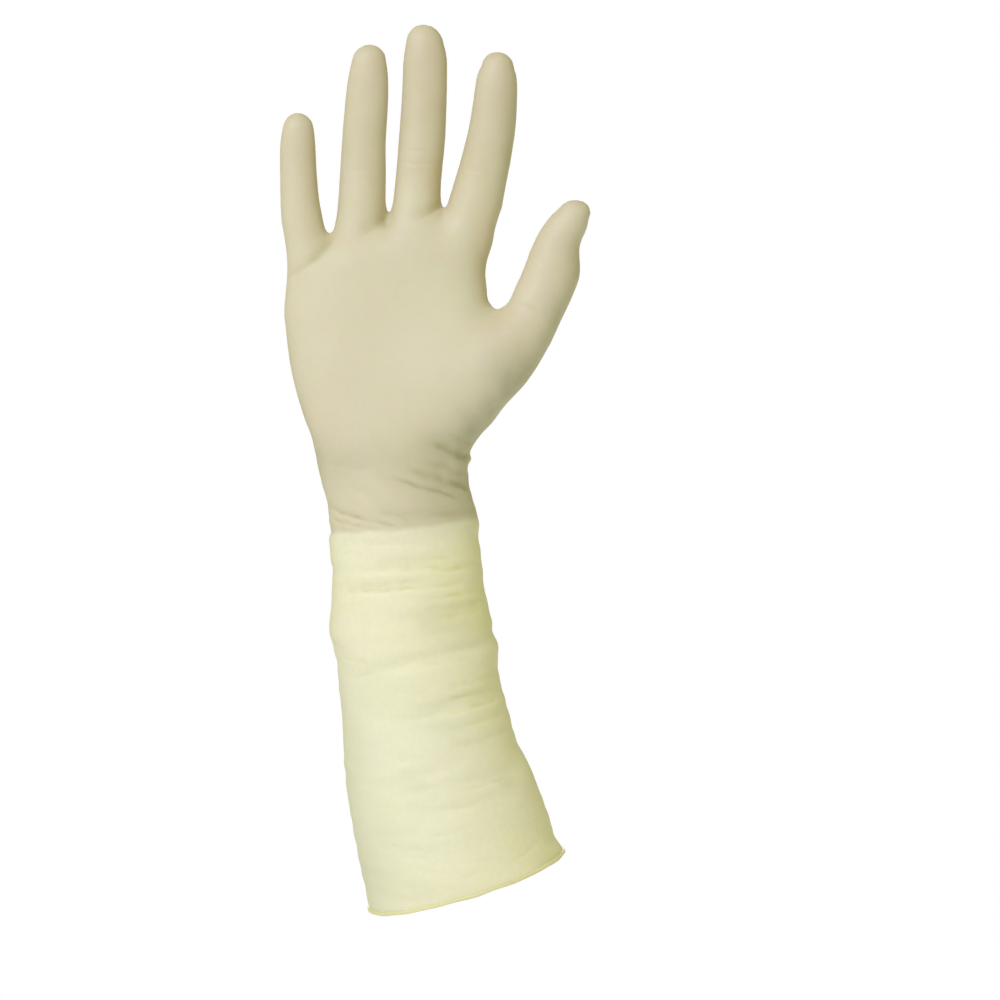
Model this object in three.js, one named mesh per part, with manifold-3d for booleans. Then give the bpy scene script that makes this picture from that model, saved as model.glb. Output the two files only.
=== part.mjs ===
// Cleanroom glove for the right hand, in the shape it has when worn: five finger stalls, a palm,
// a long gauntlet and a rolled bead round the mouth, all of one dipped film of latex.
// Millimetres. +Z runs up the fingers, the palm faces -Y and the thumb is at +X.
// The origin is the middle of the cuff's mouth.

import * as THREE from "three";
import { mergeVertices } from "three/addons/utils/BufferGeometryUtils.js";
import Module from "manifold-3d";

const wasm = await Module();
wasm.setup();

// Driving dimensions

const FILM = 1;
const GAP = 0.3;
const BEAD_RADIUS = 0.9;
const MOUTH_MARGIN = 12;
const CUT_REACH = 260;
const CUT_CLEARANCE = 1.2;

// Fineness of the surfaces: sides round a section, and the spacing of the sections.

const TRUNK_SIDES = 30;
const DIGIT_SIDES = 14;
const BEAD_SIDES = 8;
const SPACING_GAUNTLET = 5.5;
const SPACING_PALM = 11;
const SPACING_DIGIT = 12;
const DOME_RINGS = 3;
const SPACING_OF_CUT = 1;
const WRIST_TOP_Z = 195;
const WALK_STEP = 0.05;

const LATEX_ABOVE_WRIST = { color: 0xcfc6a1, roughness: 0.55, metalness: 0 };
const LATEX_BELOW_WRIST = { color: 0xe4e1b6, roughness: 0.58, metalness: 0 };
const LATEX_ROLLED = { color: 0xddd89c, roughness: 0.5, metalness: 0 };

// Section tables

function table(columns, rows) {
  const names = columns.split(" ");
  return rows.map((row) => Object.fromEntries(row.map((value, i) => [names[i], value])));
}

// The gauntlet and the palm, from the mouth up. A row is one section: the two points where it meets the
// outline seen from the palm side, the depth of its middle, its half depth, and how square it is (2 is
// an ellipse).
const TRUNK = table("leftX leftZ rightX rightZ y halfDepth square", [
  [-42.4, -13.5, 43.4, 12.5, 0, 42.7, 2],
  [-45.4, 1.4, 38.6, 23.4, -1.5, 42, 2],
  [-48.6, 17, 34.2, 35.6, -3.5, 41, 2],
  [-51, 31, 29, 48.8, -5.3, 39.5, 2],
  [-52.8, 44.4, 23.4, 59.8, -6.9, 37.5, 2],
  [-53.6, 57.6, 19.4, 73, -8.6, 35, 2],
  [-54.2, 70.8, 16.4, 84, -10.2, 33, 2],
  [-55.4, 84, 14.6, 94.6, -11.8, 31.5, 2],
  [-57.4, 99.4, 14, 106, -13.5, 30, 2],
  [-59.4, 112.6, 11.4, 117.5, -15.1, 28.2, 2.1],
  [-58.6, 125.8, 8.8, 129.4, -16.8, 26.4, 2.1],
  [-58.5, 137.7, 7.4, 140.4, -18.3, 25, 2.2],
  [-59.8, 147.4, 6.2, 150, -19.6, 24, 2.2],
  [-58.8, 154, 5.8, 159.6, -20.6, 23, 2.3],
  [-60.7, 166.3, 3.4, 168.5, -21.6, 21.6, 2.3],
  [-62.9, 175.1, 1.6, 177.3, -22, 20.6, 2.3],
  [-65.1, 185.2, 2.6, 187, -22, 20, 2.4],
  [-67.8, 194.9, 4.4, 194, -22, 19.6, 2.4],
  [-70.8, 204.6, 7.5, 205, -22, 18.6, 2.5],
  [-73.9, 215.2, 10.6, 216, -22, 17.6, 2.5],
  [-76.6, 227, 13, 229.2, -22, 16.6, 2.6],
  [-78.3, 240.2, 15.4, 242.4, -22, 15.6, 2.6],
  [-79.6, 253.4, 12, 254.5, -21.8, 15, 2.6],
  [-79.2, 264.4, 9.2, 271, -21.6, 14, 2.6],
  [-78.8, 273, 10.2, 283, -21.4, 12.4, 2.5],
  [-75.6, 279, 10.6, 290.6, -21.2, 9, 2.4],
]);
const TRUNK_DOME = 4;

// Each digit, from inside the palm to the start of its round tip. dome is the length of that tip, and cut is
// the height on the digit's own middle line where the stall meets the palm, just above its webs.
const DIGITS = [
  {
    name: "little_finger_stall",
    dome: 7,
    cut: 289,
    sections: table("leftX leftZ rightX rightZ y halfDepth square", [
      [-76.5, 243, -58, 241, -21.6, 10, 2.2],
      [-78.4, 264, -58.4, 262, -21.8, 10.2, 2.2],
      [-79.2, 276, -59.4, 276, -22.2, 9.8, 2.2],
      [-80, 286, -60.8, 286, -22.6, 9.2, 2.2],
      [-80.8, 297, -63.4, 297, -23, 8.4, 2.2],
      [-81, 310, -64.8, 310, -23.6, 7.7, 2.2],
      [-81, 322, -65.3, 322, -24.4, 7.1, 2.2],
      [-80, 330.4, -66, 330.4, -25.2, 6.4, 2.2],
    ]),
  },
  {
    name: "ring_finger_stall",
    dome: 7.6,
    cut: 298.6,
    sections: table("leftX leftZ rightX rightZ y halfDepth square", [
      [-56, 250, -33.5, 250, -21.2, 11.2, 2.2],
      [-57.2, 272, -33.4, 272, -21.2, 11.4, 2.2],
      [-57.6, 286, -33.8, 286, -21.2, 11, 2.2],
      [-55.8, 297, -34.6, 297, -21.4, 10.2, 2.2],
      [-54.8, 311, -34.6, 311, -21.8, 9.4, 2.2],
      [-53.9, 325, -34.6, 325, -22.6, 8.9, 2.2],
      [-52.6, 341, -33.6, 341, -23.6, 8.2, 2.2],
      [-51.2, 352.4, -33.5, 352.4, -24.8, 7.4, 2.2],
      [-49.6, 359.8, -34.4, 359.8, -25.6, 6.6, 2.2],
    ]),
  },
  {
    name: "middle_finger_stall",
    dome: 8.2,
    cut: 300.6,
    sections: table("leftX leftZ rightX rightZ y halfDepth square", [
      [-34.6, 254, -11, 254, -20.6, 11.6, 2.2],
      [-35, 278, -10.6, 278, -20.4, 11.8, 2.2],
      [-34.4, 292, -9.6, 292, -20.4, 11.2, 2.2],
      [-31.9, 300, -10.4, 300, -20.6, 10.4, 2.2],
      [-30.4, 309, -10.2, 309, -20.8, 9.8, 2.2],
      [-29, 326, -8.6, 326, -21.6, 9.4, 2.2],
      [-27.7, 344, -7.9, 344, -22.6, 8.8, 2.2],
      [-27, 359.4, -7.8, 359.4, -24, 8, 2.2],
      [-25.9, 367.8, -9.6, 367.8, -25, 7, 2.2],
    ]),
  },
  {
    name: "index_finger_stall",
    dome: 6.4,
    cut: 300,
    sections: table("leftX leftZ rightX rightZ y halfDepth square", [
      [-14.6, 250, 9.4, 248, -21.4, 11.4, 2.2],
      [-12.4, 270, 9.6, 268, -21.4, 11.4, 2.2],
      [-10.6, 285, 12, 282, -21.4, 11.2, 2.2],
      [-8, 297, 15.8, 294, -21.6, 10.8, 2.2],
      [-4.2, 309, 18, 305.6, -21.8, 10.2, 2.2],
      [-0.6, 321.4, 20.4, 318, -22.4, 9.7, 2.2],
      [2.2, 333.6, 22.2, 330.4, -23, 9.2, 2.2],
      [3.9, 344.6, 22.9, 342, -24, 8.5, 2.2],
      [5.3, 353.6, 22.5, 351.6, -25, 7.6, 2.2],
      [7.4, 358, 21, 357, -25.6, 6.8, 2.2],
    ]),
  },
  {
    name: "thumb_stall",
    dome: 6.4,
    cut: 254.6,
    sections: table("leftX leftZ rightX rightZ y halfDepth square", [
      [-22, 197, 1.6, 190.6, -22, 13, 2.2],
      [-13.2, 218.2, 15.6, 206.4, -25.6, 15.6, 2.2],
      [-2.2, 233.6, 28, 220, -27.8, 15.2, 2.2],
      [8.8, 244.6, 36, 233.2, -28, 13.8, 2.2],
      [17.6, 254.4, 41.8, 245.4, -27.6, 12.2, 2.2],
      [23.4, 264.2, 47, 256.6, -27, 11, 2.2],
      [27.6, 274.4, 50.4, 266.4, -27, 10.6, 2.2],
      [32, 284, 50.2, 278.2, -27.4, 9.8, 2.2],
      [37.2, 291.6, 53.2, 285.8, -28, 8.6, 2.2],
      [41.4, 295.4, 54.2, 290.6, -28.4, 7.4, 2.2],
    ]),
  },
];

// The line across the wrist where the hand zone meets the gauntlet, and the depth of the wrist's middle.
const WRIST_LINE = { leftX: -60, leftZ: 153.6, rightX: 6, rightZ: 159.8, y: -21 };

// Folds of the gauntlet and wrist. A fold lies on a line across the section, from its height at the left
// edge to that at the right, between two angles: 0 is the thumb side, 90 the back, 180 the little finger
// side and 270 the palm side. relief is its height: negative for a crease, positive for a ridge.
const FOLDS = table("leftZ rightZ from to relief halfWidth", [
  [187, 169, 262, 350, -1.2, 2.4],
  [194, 172.5, 285, 340, -0.9, 2.4],
  [222, 185, 305, 375, -1.2, 2.6],
  [165, 136, 182, 250, -1.1, 2.4],
  [182, 139, 235, 282, -0.9, 2.6],
  [160.5, 161, 262, 345, -1, 2.6],
  [152, 157.5, 150, 390, 0.7, 3],
  [137, 139, 235, 345, -0.8, 2.6],
  [127, 133, 205, 325, -1.5, 2.6],
  [131.6, 139, 220, 330, 0.8, 2.8],
  [110.4, 121, 262, 345, -1.1, 3.2],
  [102.5, 68, 185, 232, -0.9, 2.8],
  [89, 105, 236, 336, -1.1, 3.2],
  [92, 83.5, 185, 246, -1, 3],
  [67, 83, 262, 340, -1.1, 3.2],
  [60.5, 83, 262, 305, -0.8, 2.8],
  [39, 58.6, 232, 292, -1, 3.2],
  [30.6, 50, 276, 340, -1.1, 3.4],
  [21, 41, 254, 322, -0.9, 3.2],
  [172, 166, 40, 140, -1.2, 3.2],
  [158, 152, 20, 120, -1, 3],
  [142, 146, 50, 165, -1.1, 3.2],
  [118, 124, 30, 130, -1.1, 3.4],
  [92, 84, 60, 170, -1, 3.4],
  [60, 68, 20, 120, -1.1, 3.6],
]);
const FOLD_FADE = 24;

// Lofting

function sectionFrom(row) {
  const left = new THREE.Vector3(row.leftX, row.y, row.leftZ);
  const right = new THREE.Vector3(row.rightX, row.y, row.rightZ);
  return {
    middle: left.clone().add(right).multiplyScalar(0.5),
    across: right.clone().sub(left).normalize(),
    halfWidth: left.distanceTo(right) / 2,
    halfDepth: row.halfDepth,
    square: row.square,
  };
}

// A smooth curve through a value of each row, read at a fractional row number.
function along(rows, key, place) {
  const last = rows.length - 1;
  const start = Math.min(Math.floor(place), last - 1);
  const t = place - start;
  const value = (i) => rows[Math.min(Math.max(i, 0), last)][key];
  const [a, b, c, d] = [value(start - 1), value(start), value(start + 1), value(start + 2)];
  const bend = 2 * a - 5 * b + 4 * c - d;
  const twist = -a + 3 * b - 3 * c + d;
  return b + 0.5 * t * (c - a + t * (bend + t * twist));
}

// Rows at the wanted spacing along the limb, found by walking along the curve through its table.
function respaced(rows, spacingAt) {
  const keys = Object.keys(rows[0]);
  const read = (place) => Object.fromEntries(keys.map((key) => [key, along(rows, key, place)]));
  const last = rows.length - 1;
  const respacedRows = [rows[0]];
  let travelled = 0;
  let middle = sectionFrom(rows[0]).middle;
  for (let place = WALK_STEP; place < last; place += WALK_STEP) {
    const row = read(place);
    const next = sectionFrom(row).middle;
    travelled += next.distanceTo(middle);
    middle = next;
    if (travelled >= spacingAt(middle.z)) {
      respacedRows.push(row);
      travelled = 0;
    }
  }
  respacedRows.push(rows[last]);
  return respacedRows;
}

// The sections of a limb with its round tip added, each with its own direction front to back.
function limbSections(rows, spacingAt, dome, inset) {
  const sections = respaced(rows, spacingAt).map(sectionFrom);
  const end = sections[sections.length - 1];
  const before = sections[sections.length - 2];
  const ahead = end.middle.clone().sub(before.middle).normalize();
  for (const section of sections) {
    section.halfWidth -= inset;
    section.halfDepth -= inset;
  }
  for (let k = 1; k <= DOME_RINGS; k++) {
    const turn = (k / (DOME_RINGS + 1)) * (Math.PI / 2);
    sections.push({
      middle: end.middle.clone().addScaledVector(ahead, (dome - inset) * Math.sin(turn)),
      across: end.across,
      halfWidth: end.halfWidth * Math.cos(turn),
      halfDepth: end.halfDepth * Math.cos(turn),
      square: end.square,
    });
  }
  const tip = end.middle.clone().addScaledVector(ahead, dome - inset);
  sections.forEach((section, i) => {
    const from = sections[Math.max(i - 1, 0)].middle;
    const to = sections[Math.min(i + 1, sections.length - 1)].middle;
    const run = to.clone().sub(from).normalize();
    section.back = run.cross(section.across).normalize();
  });
  return { sections, tip, foot: sections[0].middle.clone() };
}

function roundPower(value, square) {
  return Math.sign(value) * Math.abs(value) ** (2 / square);
}

// How far a point stands out of its section: the sum of the folds that pass it.
function foldRelief(angle, point, leftX, rightX) {
  let relief = 0;
  for (const fold of FOLDS) {
    const share = (point.x - leftX) / (rightX - leftX);
    const lineZ = fold.leftZ + (fold.rightZ - fold.leftZ) * share;
    const off = (point.z - lineZ) / fold.halfWidth;
    const middle = (fold.from + fold.to) / 2;
    const reach = (fold.to - fold.from) / 2;
    const turn = Math.abs(((angle - middle + 540) % 360) - 180);
    const fade = 1 - THREE.MathUtils.smoothstep(turn, reach - FOLD_FADE, reach + FOLD_FADE / 2);
    relief += fold.relief * Math.exp(-off * off) * fade;
  }
  return relief;
}

function ringPoints(section, sides, folded) {
  const points = [];
  const leftX = section.middle.x - section.across.x * section.halfWidth;
  const rightX = section.middle.x + section.across.x * section.halfWidth;
  for (let i = 0; i < sides; i++) {
    const turn = (2 * Math.PI * i) / sides;
    const u = roundPower(Math.cos(turn), section.square);
    const v = roundPower(Math.sin(turn), section.square);
    const outward = new THREE.Vector3()
      .addScaledVector(section.across, u * section.halfWidth)
      .addScaledVector(section.back, v * section.halfDepth);
    const point = section.middle.clone().add(outward);
    if (folded) {
      const relief = foldRelief(THREE.MathUtils.radToDeg(turn), point, leftX, rightX);
      point.addScaledVector(outward.normalize(), relief);
    }
    points.push(point);
  }
  return points;
}

// A closed skin over rings of equal size, with a fan to a point at each end.
function skin(rings, foot, tip) {
  const sides = rings[0].length;
  const points = [...rings.flat(), foot, tip];
  const footIndex = points.length - 2;
  const tipIndex = points.length - 1;
  const faces = [];
  for (let r = 0; r < rings.length - 1; r++) {
    for (let i = 0; i < sides; i++) {
      const a = r * sides + i;
      const b = r * sides + ((i + 1) % sides);
      faces.push(a, b, b + sides, a, b + sides, a + sides);
    }
  }
  const top = (rings.length - 1) * sides;
  for (let i = 0; i < sides; i++) {
    const next = (i + 1) % sides;
    faces.push(footIndex, next, i);
    faces.push(tipIndex, top + i, top + next);
  }
  return geometryFrom(points, faces);
}

function geometryFrom(points, faces) {
  const geometry = new THREE.BufferGeometry();
  const positions = points.flatMap((point) => [point.x, point.y, point.z]);
  geometry.setAttribute("position", new THREE.Float32BufferAttribute(positions, 3));
  geometry.setIndex(faces);
  return geometry;
}

function limb(rows, { spacingAt, sides, dome, inset, folded = false, mouth = 0 }) {
  const { sections, tip, foot } = limbSections(rows, spacingAt, dome, inset);
  if (mouth > 0) {
    const first = sections[0];
    const down = first.across.clone().cross(first.back).normalize().negate();
    sections.unshift({ ...first, middle: first.middle.clone().addScaledVector(down, mouth) });
    foot.addScaledVector(down, mouth);
  }
  return solid(skin(sections.map((section) => ringPoints(section, sides, folded)), foot, tip));
}

// Booleans

function solid(geometry) {
  const bare = geometry.clone();
  bare.deleteAttribute("normal");
  bare.deleteAttribute("uv");
  const merged = mergeVertices(bare);
  const vertProperties = new Float32Array(merged.attributes.position.array);
  const triVerts = new Uint32Array(merged.index.array);
  return new wasm.Manifold(new wasm.Mesh({ numProp: 3, vertProperties, triVerts }));
}

function meshOf(body, name, finish) {
  const { vertProperties, triVerts } = body.getMesh();
  const geometry = new THREE.BufferGeometry();
  geometry.setAttribute("position", new THREE.BufferAttribute(vertProperties, 3));
  geometry.setIndex(new THREE.BufferAttribute(triVerts, 1));
  geometry.computeVertexNormals();
  const mesh = new THREE.Mesh(geometry, new THREE.MeshStandardMaterial(finish));
  mesh.name = name;
  return mesh;
}

// A block whose foot is a plane across a limb, holding all of the limb beyond that plane.
function blockBeyond(foot, ahead, halfWidth, halfDepth, lift) {
  const block = new THREE.BoxGeometry(2 * halfWidth, 2 * halfDepth, CUT_REACH);
  block.translate(0, 0, CUT_REACH / 2 + lift);
  const side = new THREE.Vector3(0, 1, 0).cross(ahead).normalize();
  const back = ahead.clone().cross(side);
  const pose = new THREE.Matrix4().makeBasis(side, back, ahead).setPosition(foot);
  return solid(block.applyMatrix4(pose));
}

// The two blocks of a digit's cut, one for each side of the gap between stall and palm.
function digitBlocks(digit) {
  const sections = respaced(digit.sections, () => SPACING_OF_CUT).map(sectionFrom);
  const beyond = sections.filter((section) => section.middle.z > digit.cut);
  const foot = beyond[0].middle;
  const ahead = beyond[beyond.length - 1].middle.clone().sub(foot).normalize();
  const side = new THREE.Vector3(0, 1, 0).cross(ahead).normalize();
  const sideways = (section) => Math.abs(section.middle.clone().sub(foot).dot(side));
  const reach = Math.max(...beyond.map((section) => sideways(section) + section.halfWidth));
  const halfWidth = reach + CUT_CLEARANCE;
  const halfDepth = 2 * beyond[0].halfDepth;
  return {
    stall: blockBeyond(foot, ahead, halfWidth, halfDepth, GAP / 2),
    palm: blockBeyond(foot, ahead, halfWidth, halfDepth, -GAP / 2),
  };
}

// The block above the wrist line.
function blockAboveWrist(lift) {
  const { leftX, leftZ, rightX, rightZ, y } = WRIST_LINE;
  const foot = new THREE.Vector3((leftX + rightX) / 2, y, (leftZ + rightZ) / 2);
  const tilt = Math.atan2(rightZ - leftZ, rightX - leftX);
  const ahead = new THREE.Vector3(-Math.sin(tilt), 0, Math.cos(tilt));
  return blockBeyond(foot, ahead, CUT_REACH, CUT_REACH, lift);
}

// The glove

function trunkSpacing(z) {
  return z < WRIST_TOP_Z ? SPACING_GAUNTLET : SPACING_PALM;
}

function shell() {
  const trunk = { spacingAt: trunkSpacing, sides: TRUNK_SIDES, dome: TRUNK_DOME, folded: true };
  let outer = limb(TRUNK, { ...trunk, inset: 0 });
  let inner = limb(TRUNK, { ...trunk, inset: FILM, mouth: MOUTH_MARGIN });
  for (const digit of DIGITS) {
    const shape = { spacingAt: () => SPACING_DIGIT, sides: DIGIT_SIDES, dome: digit.dome };
    outer = outer.add(limb(digit.sections, { ...shape, inset: 0 }));
    inner = inner.add(limb(digit.sections, { ...shape, inset: FILM }));
  }
  return outer.subtract(inner);
}

// The rolled bead lies just below the film's edge, a round section carried round the mouth.
function cuffBead() {
  const { sections } = limbSections(TRUNK, trunkSpacing, TRUNK_DOME, FILM / 2);
  const mouth = sections[0];
  const down = mouth.across.clone().cross(mouth.back).normalize().negate();
  mouth.middle.addScaledVector(down, BEAD_RADIUS + GAP);
  const rim = ringPoints(mouth, TRUNK_SIDES, false);
  const points = [];
  const faces = [];
  rim.forEach((point, i) => {
    const outward = point.clone().sub(mouth.middle).normalize();
    for (let k = 0; k < BEAD_SIDES; k++) {
      const turn = (2 * Math.PI * k) / BEAD_SIDES;
      points.push(point.clone()
        .addScaledVector(outward, BEAD_RADIUS * Math.cos(turn))
        .addScaledVector(down, BEAD_RADIUS * Math.sin(turn)));
      const nextRim = ((i + 1) % rim.length) * BEAD_SIDES;
      const nextTurn = (k + 1) % BEAD_SIDES;
      const [a, b] = [i * BEAD_SIDES + k, i * BEAD_SIDES + nextTurn];
      const [c, d] = [nextRim + nextTurn, nextRim + k];
      faces.push(a, b, c, a, c, d);
    }
  });
  return solid(geometryFrom(points, faces));
}

const glove = new THREE.Group();
const film = shell();
let palm = film.intersect(blockAboveWrist(GAP / 2));
for (const digit of DIGITS) {
  const blocks = digitBlocks(digit);
  glove.add(meshOf(film.intersect(blocks.stall), digit.name, LATEX_ABOVE_WRIST));
  palm = palm.subtract(blocks.palm);
}
glove.add(meshOf(palm, "palm", LATEX_ABOVE_WRIST));
glove.add(meshOf(film.subtract(blockAboveWrist(-GAP / 2)), "gauntlet", LATEX_BELOW_WRIST));
glove.add(meshOf(cuffBead(), "cuff_bead", LATEX_ROLLED));

export default glove;
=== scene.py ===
# Cleanroom glove for the right hand: one dipped film of natural latex with seamless finger stalls, a long
# gauntlet and a rolled bead at its mouth. It is held up in the shape that it has when worn.
import bmesh
import bpy
import numpy as np
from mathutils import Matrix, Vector


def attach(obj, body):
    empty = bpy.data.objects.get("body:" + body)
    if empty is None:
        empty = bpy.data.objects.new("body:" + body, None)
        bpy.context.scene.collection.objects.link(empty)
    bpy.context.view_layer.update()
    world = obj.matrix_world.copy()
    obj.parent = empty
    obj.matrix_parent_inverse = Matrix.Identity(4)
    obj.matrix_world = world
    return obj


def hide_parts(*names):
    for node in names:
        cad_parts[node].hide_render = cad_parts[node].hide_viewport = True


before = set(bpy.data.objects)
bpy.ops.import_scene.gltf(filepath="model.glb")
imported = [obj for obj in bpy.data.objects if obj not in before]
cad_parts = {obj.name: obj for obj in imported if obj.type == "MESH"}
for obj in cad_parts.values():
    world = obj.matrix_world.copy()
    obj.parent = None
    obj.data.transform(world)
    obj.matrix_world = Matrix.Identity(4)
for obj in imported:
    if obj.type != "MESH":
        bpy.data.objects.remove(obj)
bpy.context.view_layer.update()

# View: a level camera in front of the palm, far enough off for the long lens of a product picture. One
# photograph pixel is PIXEL metres at the depth of the hand, and MOUTH_PIXEL is the middle of the mouth.
PIXEL = 0.00044
PHOTO_WIDTH = 1000
MOUTH_PIXEL = (465, 881)
CAMERA_DISTANCE = 2.2
HAND_DEPTH = -0.015
SENSOR_MM = 36
FAR_CLIP = 30


def from_photo(pixel_x, pixel_y):
    """Place of a photograph pixel on the glove: its offset from the mouth's middle, times a pixel's size."""
    return (pixel_x - MOUTH_PIXEL[0]) * PIXEL, (MOUTH_PIXEL[1] - pixel_y) * PIXEL


view_x, view_z = from_photo(PHOTO_WIDTH / 2, PHOTO_WIDTH / 2)
camera_data = bpy.data.cameras.new("camera")
camera_data.sensor_width = SENSOR_MM
camera_data.lens = SENSOR_MM * (CAMERA_DISTANCE + HAND_DEPTH) / (PHOTO_WIDTH * PIXEL)
camera_data.clip_end = FAR_CLIP
camera = bpy.data.objects.new("camera", camera_data)
camera.location = (view_x, -CAMERA_DISTANCE, view_z)
camera.rotation_euler = (np.pi / 2, 0, 0)
bpy.context.collection.objects.link(camera)
bpy.context.scene.camera = camera

# Form: the gauntlet and palm are one limb and each digit is another. A limb is a table of sections held by
# their left and right outline points, in millimetres.
MM = 0.001
SAMPLES_A_ROW = 60
RING_SPACING = 1.0 * MM
DOME_TURNS = 12
TRUNK_TIP = 4 * MM
MOUTH_OVERRUN = 14 * MM

TRUNK = np.array([  # left x, z, right x, z, y of the middle, half depth, squareness (2 is an ellipse)
    (-42.4, -13.5, 43.4, 12.5, 0, 42.7, 2),
    (-45.4, 1.4, 38.6, 23.4, -1.5, 42, 2),
    (-48.6, 17, 34.2, 35.6, -3.5, 41, 2),
    (-51, 31, 29, 48.8, -5.3, 39.5, 2),
    (-52.8, 44.4, 23.4, 59.8, -6.9, 37.5, 2),
    (-53.6, 57.6, 19.4, 73, -8.6, 35, 2),
    (-54.2, 70.8, 16.4, 84, -10.2, 33, 2),
    (-55.4, 84, 14.6, 94.6, -11.8, 31.5, 2),
    (-57.4, 99.4, 14, 106, -13.5, 30, 2),
    (-59.4, 112.6, 11.4, 117.5, -15.1, 28.2, 2.1),
    (-58.6, 125.8, 8.8, 129.4, -16.8, 26.4, 2.1),
    (-58.5, 137.7, 7.4, 140.4, -18.3, 25, 2.2),
    (-59.8, 147.4, 6.2, 150, -19.6, 24, 2.2),
    (-58.8, 154, 5.8, 159.6, -20.6, 23, 2.3),
    (-60.7, 166.3, 3.4, 168.5, -21.6, 21.6, 2.3),
    (-62.9, 175.1, 1.6, 177.3, -22, 20.6, 2.3),
    (-65.1, 185.2, 2.6, 187, -22, 20, 2.4),
    (-67.8, 194.9, 4.4, 194, -22, 19.6, 2.4),
    (-70.8, 204.6, 7.5, 205, -22, 18.6, 2.5),
    (-73.9, 215.2, 10.6, 216, -22, 17.6, 2.5),
    (-76.6, 227, 13, 229.2, -22, 16.6, 2.6),
    (-78.3, 240.2, 15.4, 242.4, -22, 15.6, 2.6),
    (-79.6, 253.4, 12, 254.5, -21.8, 15, 2.6),
    (-79.2, 264.4, 9.2, 271, -21.6, 14, 2.6),
    (-78.8, 273, 10.2, 283, -21.4, 12.4, 2.5),
    (-75.6, 279, 10.6, 290.6, -21.2, 9, 2.4),
])
LITTLE_FINGER = np.array([
    (-76.5, 243, -58, 241, -21.6, 10, 2.2),
    (-78.4, 264, -58.4, 262, -21.8, 10.2, 2.2),
    (-79.2, 276, -59.4, 276, -22.2, 9.8, 2.2),
    (-80, 286, -60.8, 286, -22.6, 9.2, 2.2),
    (-80.8, 297, -63.4, 297, -23, 8.4, 2.2),
    (-81, 310, -64.8, 310, -23.6, 7.7, 2.2),
    (-81, 322, -65.3, 322, -24.4, 7.1, 2.2),
    (-80, 330.4, -66, 330.4, -25.2, 6.4, 2.2),
])
RING_FINGER = np.array([
    (-56, 250, -33.5, 250, -21.2, 11.2, 2.2),
    (-57.2, 272, -33.4, 272, -21.2, 11.4, 2.2),
    (-57.6, 286, -33.8, 286, -21.2, 11, 2.2),
    (-55.8, 297, -34.6, 297, -21.4, 10.2, 2.2),
    (-54.8, 311, -34.6, 311, -21.8, 9.4, 2.2),
    (-53.9, 325, -34.6, 325, -22.6, 8.9, 2.2),
    (-52.6, 341, -33.6, 341, -23.6, 8.2, 2.2),
    (-51.2, 352.4, -33.5, 352.4, -24.8, 7.4, 2.2),
    (-49.6, 359.8, -34.4, 359.8, -25.6, 6.6, 2.2),
])
MIDDLE_FINGER = np.array([
    (-34.6, 254, -11, 254, -20.6, 11.6, 2.2),
    (-35, 278, -10.6, 278, -20.4, 11.8, 2.2),
    (-34.4, 292, -9.6, 292, -20.4, 11.2, 2.2),
    (-31.9, 300, -10.4, 300, -20.6, 10.4, 2.2),
    (-30.4, 309, -10.2, 309, -20.8, 9.8, 2.2),
    (-29, 326, -8.6, 326, -21.6, 9.4, 2.2),
    (-27.7, 344, -7.9, 344, -22.6, 8.8, 2.2),
    (-27, 359.4, -7.8, 359.4, -24, 8, 2.2),
    (-25.9, 367.8, -9.6, 367.8, -25, 7, 2.2),
])
INDEX_FINGER = np.array([
    (-14.6, 250, 9.4, 248, -21.4, 11.4, 2.2),
    (-12.4, 270, 9.6, 268, -21.4, 11.4, 2.2),
    (-10.6, 285, 12, 282, -21.4, 11.2, 2.2),
    (-8, 297, 15.8, 294, -21.6, 10.8, 2.2),
    (-4.2, 309, 18, 305.6, -21.8, 10.2, 2.2),
    (-0.6, 321.4, 20.4, 318, -22.4, 9.7, 2.2),
    (2.2, 333.6, 22.2, 330.4, -23, 9.2, 2.2),
    (3.9, 344.6, 22.9, 342, -24, 8.5, 2.2),
    (5.3, 353.6, 22.5, 351.6, -25, 7.6, 2.2),
    (7.4, 358, 21, 357, -25.6, 6.8, 2.2),
])
THUMB = np.array([
    (-22, 197, 1.6, 190.6, -22, 13, 2.2),
    (-13.2, 218.2, 15.6, 206.4, -25.6, 15.6, 2.2),
    (-2.2, 233.6, 28, 220, -27.8, 15.2, 2.2),
    (8.8, 244.6, 36, 233.2, -28, 13.8, 2.2),
    (17.6, 254.4, 41.8, 245.4, -27.6, 12.2, 2.2),
    (23.4, 264.2, 47, 256.6, -27, 11, 2.2),
    (27.6, 274.4, 50.4, 266.4, -27, 10.6, 2.2),
    (32, 284, 50.2, 278.2, -27.4, 9.8, 2.2),
    (37.2, 291.6, 53.2, 285.8, -28, 8.6, 2.2),
    (41.4, 295.4, 54.2, 290.6, -28.4, 7.4, 2.2),
])
LIMBS = (  # table, number of sides, length of the round tip
    (TRUNK, 220, TRUNK_TIP),
    (LITTLE_FINGER, 64, 7 * MM),
    (RING_FINGER, 64, 7.6 * MM),
    (MIDDLE_FINGER, 64, 8.2 * MM),
    (INDEX_FINGER, 64, 6.4 * MM),
    (THUMB, 90, 6.4 * MM),
)

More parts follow.
